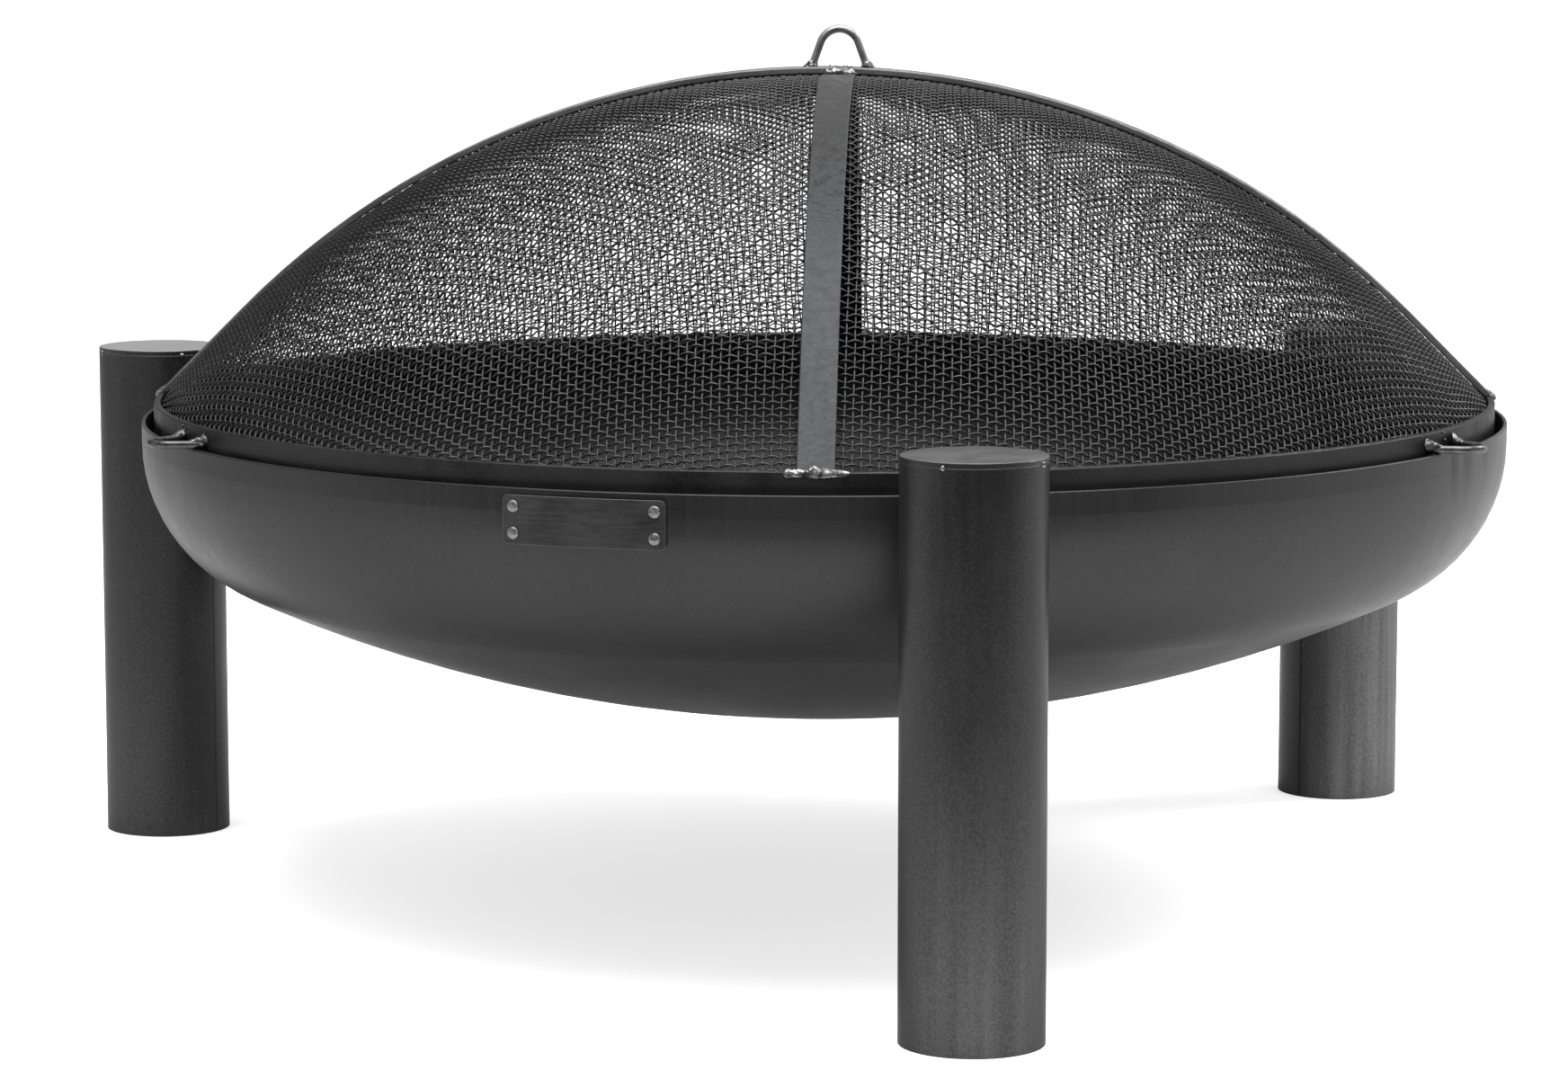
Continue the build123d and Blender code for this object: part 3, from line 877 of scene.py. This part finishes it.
    def build(self, materials: dict[str, Material]) -> None:
        """Makes the panel's pieces: its upright and its level wires, left and right.

        Args:
            materials: The upright and the level wires' finish.
        """
        grid, normals = self.crossings()
        out = grid[:, :, 1] if self.back else -grid[:, :, 1]
        kept = (out > self.hem) & (grid[:, :, 2] > self.skirt_z)
        middle = grid.shape[0] // 2
        for direction, material in materials.items():
            level = direction == "level"
            halves = {"left": Surface(), "right": Surface()}
            lines = range(grid.shape[1] if level else grid.shape[0])
            for line in lines:
                pick = (slice(None), line) if level else (line, slice(None))
                shown = np.flatnonzero(kept[pick])
                for run in np.split(shown, np.flatnonzero(np.diff(shown) > 1) + 1):
                    if len(run) < self.shortest:
                        continue
                    side = 1 if (run[0] + line) % 2 else -1
                    crimp = -self.level_crimp if level else 2 - self.level_crimp
                    rings = self.wire(grid[pick][run], normals[pick][run], side * crimp)
                    if level:  # cut at the middle, where the strip hides the cut
                        cut = 2 * max(0, min(middle - run[0], len(run) - 1)) + 1
                    else:
                        cut = len(rings) - 1 if line < middle else 0
                    if cut > 1:
                        halves["left"].tube(rings[: cut + 1])
                    if cut < len(rings) - 1:
                        halves["right"].tube(rings[cut:])
            for half, surface in halves.items():
                name = f"wires_{self.name}_{direction}_{half}"
                surface.make(name, SCREEN_BODY, "screen_wire", material, f"mesh_{self.name}")


# ---------- weld beads
@dataclass
class Bead:
    """A weld bead: a rippled, lumpy sausage half sunk into the joint that it fills."""

    start: Place
    end: Place
    up: Place
    radius: float
    squash: float = 0.8
    ripple: float = 0.0021
    ripple_depth: float = 0.16
    lump: float = 0.22
    tip: float = 1.0
    seed: int = 0
    sides: int = 20
    step: float = 0.0004
    fewest: int = 14
    cap_end: float = 0.0004
    lump_rate: float = 420.0
    seed_shift: float = 7.3

    def rings(self) -> Array:
        """The bead's rings of points, with rounded ends.

        Returns:
            The rings, as an array of rings by sides by three.
        """
        start, end, up = np.array(self.start), np.array(self.end), np.array(self.up)
        along = end - start
        length = float(np.linalg.norm(along))
        along = along / length if length > TINY else np.array([1.0, 0.0, 0.0])
        up = up - along * up.dot(along)
        up /= np.linalg.norm(up)
        side = np.cross(along, up)
        count = max(self.fewest, int((length + 2 * self.radius) / self.step))
        spots = np.linspace(-self.radius, length + self.radius, count + 2)[1:-1]
        turn = np.arange(self.sides) * 2 * pi / self.sides
        over = np.maximum(np.maximum(-spots, spots - length), 0.0) / self.radius
        cap = np.sqrt(np.maximum(1 - over**2, self.cap_end))
        narrow = 1 + (self.tip - 1) * np.clip(spots / max(length, TINY), 0, 1)
        rings = np.empty((count, self.sides, 3))
        for n, spot in enumerate(spots):
            for m, angle in enumerate(turn):
                scale = self.radius * cap[n] * narrow[n]
                wave = (spot + 0.5 * self.radius * cos(angle)) / self.ripple
                ridge = self.ripple_depth * (1 - (wave % 1)) * max(cos(angle), 0.0)
                flat = start + along * spot + scale * (up * cos(angle) + side * sin(angle))
                rough = noise.noise(Vector(flat * self.lump_rate) + Vector((self.seed * self.seed_shift, 0, 0)))
                scale *= 1 - self.ripple_depth / 2 + ridge + self.lump * rough
                rings[n, m] = start + along * spot
                rings[n, m] += scale * (up * cos(angle) * self.squash + side * sin(angle))
        return rings


@dataclass(frozen=True)
class Run:
    """A bead along X, which starts and ends at these distances from the middle of its joint."""

    first: float
    last: float
    radius: float
    lump: float
    squash: float = 0.8
    ripple_depth: float = 0.16
    tip: float = 1.0
    rise: float = 0.0


def lay(runs: Iterable[Run], middle: Place, side: int, seed: int) -> list[Bead]:
    """Lays runs of weld in a joint.

    Args:
        runs: The runs.
        middle: The joint's middle.
        side: -1 if the weld faces -Y, or 1 if it faces +Y.
        seed: The seed of the first.

    Returns:
        The beads.
    """
    x, y, z = middle
    return [
        Bead((x + run.first, y, z + run.rise), (x + run.last, y, z), (0.0, side, 1.0), run.radius, run.squash,
             ripple_depth=run.ripple_depth, lump=run.lump, tip=run.tip, seed=seed + 2 * number)
        for number, run in enumerate(runs)
    ]


def spatter(centre: Place, reach: float, count: int, seed: int) -> list[Bead]:
    """Small beads of weld spatter, strewn over a level face.

    Args:
        centre: The point that they lie round.
        reach: How far they fly, in metres.
        count: How many there are.
        seed: The seed of their places.

    Returns:
        The beads.
    """
    random = np.random.default_rng(seed)
    beads = []
    for number in range(count):
        shift = random.normal(0, reach / 2, 3) * (1, 1, 0)
        place, size = np.array(centre) + shift, float(random.uniform(*SPATTER_SIZES))
        beads.append(Bead(place, place, UPWARD, size, 0.9, seed=seed + number, sides=8))
    return beads


@dataclass
class SubAssembly:
    """What both bodies share: their weld metal, and the way that their weld pieces are made."""

    body: str
    metal: Material = field(default_factory=WELD_METAL.material)

    def weld(self, name: str, node: str, beads: Iterable[Bead], material: Optional[Material] = None) -> None:
        """Makes one weld piece of its beads.

        Args:
            name: The piece's name.
            node: The solid that it stands for.
            beads: Its beads.
            material: Its finish, if it isn't the body's own weld metal.
        """
        surface = Surface()
        for bead in beads:
            surface.tube(bead.rings())
        surface.make(name, self.body, "weld_metal", material or self.metal, node)


# ---------- fire bowl
def around(turn: float, radius: float, z: float) -> Place:
    """The point at a turn from the front, towards +X, a radius and a height."""
    return radius * sin(radians(turn)), -radius * cos(radians(turn)), z


@dataclass
class RivetHead:
    """One of a rivet's two heads: a low dome with a hammered face."""

    centre: Place
    out: Place
    radius: float = 0.0033
    height: float = 0.0014
    buried: float = 0.0006
    edge: float = 0.00025
    dents: float = 0.00022
    dent_rate: float = 1100.0
    sides: int = 28

    def rings(self) -> Array:
        """The head's rings of points, from its buried foot to the middle of its face.

        Returns:
            The rings, as an array of rings by sides by three.
        """
        out, up = Vector(self.out), Vector(UPWARD)
        side = out.cross(up).normalized()
        profile = [(1.0, -self.buried), (1.0, self.edge)]
        profile += [(cos(a), self.edge + (self.height - self.edge) * sin(a)) for a in np.linspace(0.25, 1.5, 7)]
        rings = np.empty((len(profile), self.sides, 3))
        for n, (share, lift) in enumerate(profile):
            for m in range(self.sides):
                angle = m * 2 * pi / self.sides
                point = Vector(self.centre) + (side * cos(angle) + up * sin(angle)) * self.radius * share
                dent = noise.noise(point * self.dent_rate) * self.dents * (n > 1)
                rings[n, m] = point + out * (lift + dent)
        return rings


@dataclass
class FireBowl(SubAssembly):
    """The bowl, its legs and its badge plate."""

    body: str = BOWL_BODY
    seam_across: float = 0.0108
    seam_out: float = 0.0012
    seam_radius: float = 0.0040
    seam_top: float = 0.2735
    seam_bottom: float = 0.239
    first_tacks: tuple[float, ...] = (-115.0, -62.0, -62.0)
    tack_radius: float = 0.0017
    tack_inset: float = 0.0003
    badge_turn: float = -16.9
    rivet_turns: Span = (-5.587, 5.587)
    rivet_rise: float = 0.007
    badge_thickness: float = 0.0012
    bowl_wall: float = 0.0025

    def dress_solids(self) -> None:
        """Gives the bowl, legs, caps and badge plate their finishes."""
        dress(BOWL_STEEL.material(), "bowl")
        for steel in LEG_STEELS:
            dress(steel.material(), f"leg_tube_{steel.leg}")
        dress(CAP_STEEL.material(), "leg_cap_front", "leg_cap_right")
        dress(PAINTED_LIGHT_CAP_STEEL.material(), "leg_cap_left")
        dress(BADGE_STEEL.material(), "badge_plate")

    def build_seams(self) -> None:
        """Lays the two upright weld seams between each leg and the bowl."""
        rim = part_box("bowl")[1].x
        for number, leg in enumerate(LEGS):
            low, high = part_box(f"leg_tube_{leg}")
            axis = (low + high) / 2
            out = Vector((axis.x, axis.y, 0)).normalized()
            across = Vector((-out.y, out.x, 0))
            beads = []
            for side in (-1, 1):
                foot = out * (rim + self.seam_out) + across * (side * self.seam_across)
                ends = ((foot.x, foot.y, height) for height in (self.seam_bottom, self.seam_top))
                beads.append(Bead(*ends, across * side, self.seam_radius, 0.6, seed=10 * number + side))
            self.weld(f"seam_beads_{leg}", f"leg_seam_{leg}", beads)

    def build_tacks(self) -> None:
        """Sets the small tacks that hold the caps on the tubes."""
        beads = []
        for number, (leg, first) in enumerate(zip(LEGS, self.first_tacks)):
            low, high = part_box(f"leg_tube_{leg}")
            axis, radius = (low + high) / 2, (high.x - low.x) / 2
            for turn in (first + 90 * quarter for quarter in range(4)):
                way = Vector((cos(radians(turn)), sin(radians(turn)), 0))
                spot = Vector((axis.x, axis.y, high.z)) + way * (radius - self.tack_inset)
                beads.append(Bead(spot, spot, way, self.tack_radius, 1.0, seed=number * 7 + int(turn)))
        self.weld("cap_tack_beads", "cap_tacks", beads)

    def build_rivets(self) -> None:
        """Sets the four rivets' heads, on the badge plate and inside the bowl."""
        low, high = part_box("badge_plate")
        middle, rim = (low.z + high.z) / 2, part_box("bowl")[1].x
        surface = Surface()
        for shift in self.rivet_turns:
            turn = self.badge_turn + shift
            for side in (-1, 1):
                height = middle + side * self.rivet_rise
                for face, way in ((rim + self.badge_thickness, 1.0), (rim - self.bowl_wall, -1.0)):
                    surface.tube(RivetHead(around(turn, face, height), around(turn, way, 0.0)).rings())
        surface.make("rivet_heads", self.body, "rivet_steel", RIVET_STEEL.material(), "badge_rivets")

    def build(self) -> None:
        """Builds and dresses the whole sub-assembly."""
        self.dress_solids()
        self.build_seams()
        self.build_tacks()
        self.build_rivets()


# ---------- spark screen
@dataclass
class SparkScreen(SubAssembly):
    """The lift-off screen: ring, cross arch and strips, woven wire, eye and rest lugs."""

    body: str = SCREEN_BODY
    bar: float = 0.004
    arch_radius: float = 0.4857
    wire_gap: float = 0.0014
    front_swell: float = 0.0039
    back_crown_turn: float = radians(27.65)
    back_wander: float = 0.0016
    foot_inset: float = 0.0009
    foot_drop: float = 0.0005
    arch_foot_half: float = 0.0115
    strip_feet: tuple[tuple[float, int], ...] = ((0.004, -1), (0.0075, 1))
    arch_foot_radius: float = 0.0029
    strip_foot_runs: tuple[Run, ...] = (
        Run(-0.0145, -0.002, 0.003, lump=0.3),
        Run(-0.001, 0.001, 0.0034, lump=0.34, rise=0.0009),
        Run(0.0, 0.0145, 0.0036, lump=0.14, ripple_depth=0.08, tip=0.6),
    )
    strip_foot_drop: float = 0.0007
    crossing_x: float = 0.009
    crossing_across: float = 0.0104
    crossing_drop: float = 0.0038
    crossing_runs: tuple[Run, ...] = (
        Run(-0.006, 0.006, 0.0036, lump=0.34, squash=0.95),
        Run(0.004, 0.0095, 0.0024, lump=0.22, tip=0.4, rise=0.001),
    )
    crossing_spatter: tuple[float, int] = (0.012, 12)
    weld_inset: float = 0.0006
    joint_trim: float = 0.002
    joint_radius: float = 0.002
    hoop_lean: float = radians(20)
    hoop_weld: float = 0.0085
    eye_foot: float = 0.0161
    eye_weld_ends: tuple[Span, Span] = ((0.0004, -0.001), (-0.0016, 0.0046))
    eye_weld_radius: float = 0.0044
    eye_base_half: float = 0.0035
    eye_base_radius: float = 0.0028
    lug_turns: tuple[float, ...] = (-61.8, 61.1, 180.0)
    lug_foot: float = 0.0171
    lug_rises: Span = (0.0013, 0.0002)
    lug_weld_radius: float = 0.0036
    lug_spatter: tuple[tuple[float, float, float], ...] = (
        (61.7, 0.2876, 0.0007), (61.9, 0.2837, 0.001), (63.5, 0.2811, 0.0009), (58.8, 0.2798, 0.0015),
        (-64.6, 0.2871, 0.0009), (-59.2, 0.2802, 0.0008), (-63.2, 0.2846, 0.0006), (178.1, 0.2851, 0.0009),
    )

    def __post_init__(self) -> None:
        """Reads the ring's radius and the heights that the welds and wires start from."""
        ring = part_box("screen_ring")[1]
        self.ring, self.ring_top = ring.x, ring.z
        self.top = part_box("cross_arch")[1].z

    def dress_solids(self) -> None:
        """Gives the bars, rods and mesh tacks their finishes."""
        dress(BAR_STEEL.material(), "screen_ring")
        dress(ARCH_STEEL.material(), "cross_arch")
        dress(STRIP_STEEL.material(), "front_strip", "back_strip")
        dress(ROD_STEEL.material(), "rest_lug_left", "rest_lug_right", "rest_lug_back")
        dress(EYE_STEEL.material(), "lifting_eye")
        dress(self.metal, "mesh_tacks")

    def build_wires(self) -> None:
        """Drapes both panels of woven wire."""
        inset = self.bar + self.wire_gap
        form = DomeForm(self.arch_radius - inset, self.top - self.arch_radius, self.ring - inset)
        materials = {direction: steel.material() for direction, steel in WIRE_STEELS.items()}
        WirePanel("front", form, seed=11, back=False, swell=self.front_swell).build(materials)
        WirePanel(
            "back", form, seed=23, back=True, crown_turn=self.back_crown_turn, wander=self.back_wander
        ).build(materials)

    def build_foot_welds(self) -> None:
        """Lays the beads at the feet of the arch and of both strips."""
        out, level, half = self.ring - self.foot_inset, self.ring_top - self.foot_drop, self.arch_foot_half
        beads = [
            Bead((side * out, -half, level), (side * out, half, level), (side, 0, 1), self.arch_foot_radius,
                 seed=30 + side)
            for side in (-1, 1)
        ]
        self.weld("arch_foot_beads", "arch_foot_welds", beads)
        beads = []
        level -= self.strip_foot_drop
        for x, side in self.strip_feet:
            beads += lay(self.strip_foot_runs, (x, side * out, level), side, seed=40 + side)
        self.weld("strip_foot_beads", "strip_foot_welds", beads)

    def build_joint_welds(self) -> None:
        """Lays the beads where the bars cross on top and where the ring's ends meet."""
        x, level = self.crossing_x, self.top - self.crossing_drop
        beads = []
        for side in (-1, 1):
            beads += lay(self.crossing_runs, (x, side * self.crossing_across, level), side, seed=50 + side)
        beads += spatter((x, 0.0, self.top), *self.crossing_spatter, seed=5)
        self.weld("crossing_beads", "crossing_welds", beads)
        low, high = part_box("ring_joint_weld")
        middle = (low + high) / 2
        way = Vector((middle.x, middle.y, 0)).normalized()
        foot = way * (self.ring - self.weld_inset)
        ends = ((foot.x, foot.y, height) for height in (low.z + self.joint_trim, high.z - self.joint_trim))
        self.weld("ring_joint_bead", "ring_joint_weld", [Bead(*ends, way, self.joint_radius, 0.75)])

    def build_eye_welds(self) -> None:
        """Lays the flared lumps of weld at the lifting eye's feet."""
        beads = []
        for side in (-1, 1):
            x = self.crossing_x + side * self.eye_foot
            start, end = ((x + side * out, 0, self.top + rise) for out, rise in self.eye_weld_ends)
            beads.append(Bead(start, end, (side, 0, 0), self.eye_weld_radius, 0.95, ripple=0.0016, lump=0.34,
                              tip=0.45, seed=60 + side))
            start, end = ((x, way * self.eye_base_half, self.top) for way in (-1, 1))
            beads.append(Bead(start, end, (side, 0, 1), self.eye_base_radius, 0.7, seed=62 + side))
        self.weld("eye_foot_beads", "lifting_eye_welds", beads)

    def build_lug_welds(self) -> None:
        """Lays the lumps of weld at the rest lugs' feet, with a little spatter on the ring."""
        low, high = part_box("rest_lug_back")
        level = (low.z + high.z) / 2
        beads = []
        for turn in self.lug_turns:
            out, sideways = Vector(around(turn, 1, 0)), Vector(around(turn + 90, 1, 0))
            for side in (-1, 1):
                foot = out * (self.ring - self.weld_inset) + sideways * (side * self.lug_foot)
                foot += Vector((0, 0, level))
                leg = out * cos(self.hoop_lean) - sideways * (side * sin(self.hoop_lean))
                start, end = foot + Vector((0, 0, self.lug_rises[0])), foot + leg * self.hoop_weld
                end += Vector((0, 0, self.lug_rises[1]))
                beads.append(Bead(start, end, UPWARD, self.lug_weld_radius, 1.25, ripple=0.003,
                                  ripple_depth=0.1, lump=0.28, tip=0.5, seed=int(turn) + side))
        for turn, height, size in self.lug_spatter:
            place = around(turn, self.ring + size / 4, height)
            beads.append(Bead(place, place, around(turn, 1, 0), size, 0.8, seed=int(turn), sides=10))
        self.weld("lug_end_beads", "rest_lug_welds", beads, DULL_WELD_METAL.material())

    def build(self) -> None:
        """Builds and dresses the whole sub-assembly."""
        self.dress_solids()
        self.build_foot_welds()
        self.build_joint_welds()
        self.build_eye_welds()
        self.build_lug_welds()
        self.build_wires()


# ---------- studio
@dataclass(frozen=True)
class SoftBox:
    """A soft studio lamp."""

    name: str
    place: Place
    size: Span
    power: float
    aim: Place = (0.0, 0.0, 0.2)

    def build(self) -> None:
        """Hangs the lamp and aims it."""
        light = bpy.data.lights.new(self.name, "AREA")
        light.shape = "RECTANGLE"
        light.size, light.size_y = self.size
        light.energy = self.power
        lamp = add_object(self.name, light)
        lamp.location = self.place
        lamp.rotation_euler = (Vector(self.aim) - Vector(self.place)).to_track_quat("-Z", "Y").to_euler()
        lamp.visible_camera = False


@dataclass
class Studio:
    """A pale floor, soft lamps, a bright surround and the camera."""

    camera_place: Place = (0.06125, -2.92406, 0.5942)
    camera_tilt: float = 82.36
    camera_turn: float = 1.66
    lens: float = 114.2
    sensor_width: float = 36.0
    clip_end: float = 100.0
    floor_reach: float = 15.0
    floor_front: float = 1.1
    floor_steps: int = 24
    floor_colour: Colour = grey(0.86)
    floor_unevenness: float = 0.02
    floor_patch: float = 0.6
    floor_roughness: float = 0.75
    floor_shine: float = 0.1
    floor_glow: float = 0.62
    floor_light: float = 0.16
    floor_light_reach: Span = (0.5, 0.1)
    surround_front: float = 0.3
    surround_back: float = 0.44
    surround_above: float = 0.4
    surround_below: float = 0.04
    back_span: Span = (-0.5, 0.6)
    right_span: Span = (-0.9, 0.5)
    above_span: Span = (0.25, 0.8)
    horizon_span: Span = (-0.02, 0.02)
    lamps: tuple[SoftBox, ...] = (
        SoftBox("lamp_above", (0.0, -0.4, 2.4), (2.4, 2.0), 85.0),
        SoftBox("lamp_right", (2.6, 1.7, 1.0), (1.6, 1.8), 18.0),
        SoftBox("lamp_left", (-3.0, 0.0, 1.0), (1.2, 1.8), 3.5),
        SoftBox("lamp_key", (1.9, 0.9, 2.0), (0.8, 0.8), 28.0),
    )

    def build_floor(self) -> None:
        """Lays the floor, a fine grid that is very slightly uneven in tone. It glows evenly where the camera
        sees it, and a painted glow under the bowl lights the steel.
        """
        row = self.floor_steps + 1
        across = np.linspace(-self.floor_reach, self.floor_reach, row)
        away = np.linspace(-self.floor_front, self.floor_reach, row)
        points = [(x, y, 0.0) for y in away for x in across]
        starts = [line * row + n for line in range(self.floor_steps) for n in range(self.floor_steps)]
        mesh = bpy.data.meshes.new("studio_floor")
        mesh.from_pydata(points, [], [(n, n + 1, n + row + 1, n + row) for n in starts])
        made, nodes, surface = start_material("studio_floor")
        shade = tuple(part * (1 - self.floor_unevenness) for part in self.floor_colour)
        x, y = nodes.axis(0), nodes.axis(1)
        # Painted glow: under the bowl the floor sends light to the steel but not to the camera.
        glow_under_bowl = (x * x + y * y).band(*self.floor_light_reach)
        light = nodes.mix(glow_under_bowl, grey(0.0), grey(self.floor_light))
        nodes.feed(surface, {
            "Base Color": nodes.mix(nodes.noise(self.floor_patch, detail=3), self.floor_colour, shade),
            "Roughness": self.floor_roughness,
            "Specular IOR Level": self.floor_shine,
            "Emission Strength": 1.0,
            "Emission Color": nodes.mix(nodes.seen(), light, grey(self.floor_glow)),
        })
        mesh.materials.append(made)
        add_object("studio_floor", mesh)

    def build_surround(self) -> None:
        """Lights the room evenly, dimmer from the front, with a white backdrop."""
        world = bpy.data.worlds.new("surround")
        world.use_nodes = True
        nodes = Nodes(world.node_tree)
        right, back, up = nodes.axes(nodes.add("ShaderNodeTexCoord").outputs["Generated"])
        seen = nodes.seen()
        light = back.band(*self.back_span) * right.band(*self.right_span) * self.surround_back
        light = light + self.surround_front + up.band(*self.above_span) * self.surround_above
        light = light * up.band(*self.horizon_span) + self.surround_below
        nodes.feed(world.node_tree.nodes["Background"], {
            "Color": grey(1.0), "Strength": seen + (1 - seen) * light,
        })
        bpy.context.scene.world = world

    def build_camera(self) -> None:
        """Stands the camera in front, a little above the rim."""
        camera = bpy.data.cameras.new("camera")
        camera.lens = self.lens
        camera.sensor_width = self.sensor_width
        camera.clip_end = self.clip_end
        holder = add_object("camera", camera)
        holder.location = self.camera_place
        holder.rotation_euler = (radians(self.camera_tilt), 0.0, radians(self.camera_turn))
        bpy.context.scene.camera = holder

    def build(self) -> None:
        """Sets up the whole studio."""
        self.build_floor()
        self.build_surround()
        for lamp in self.lamps:
            lamp.build()
        self.build_camera()
        bpy.context.scene.view_settings.view_transform = "Standard"


def main() -> None:
    """Builds the studio and both sub-assemblies."""
    logging.basicConfig(level=logging.INFO, format="%(name)s: %(message)s")
    Studio().build()
    FireBowl().build()
    SparkScreen().build()


if __name__ == "__main__":
    main()
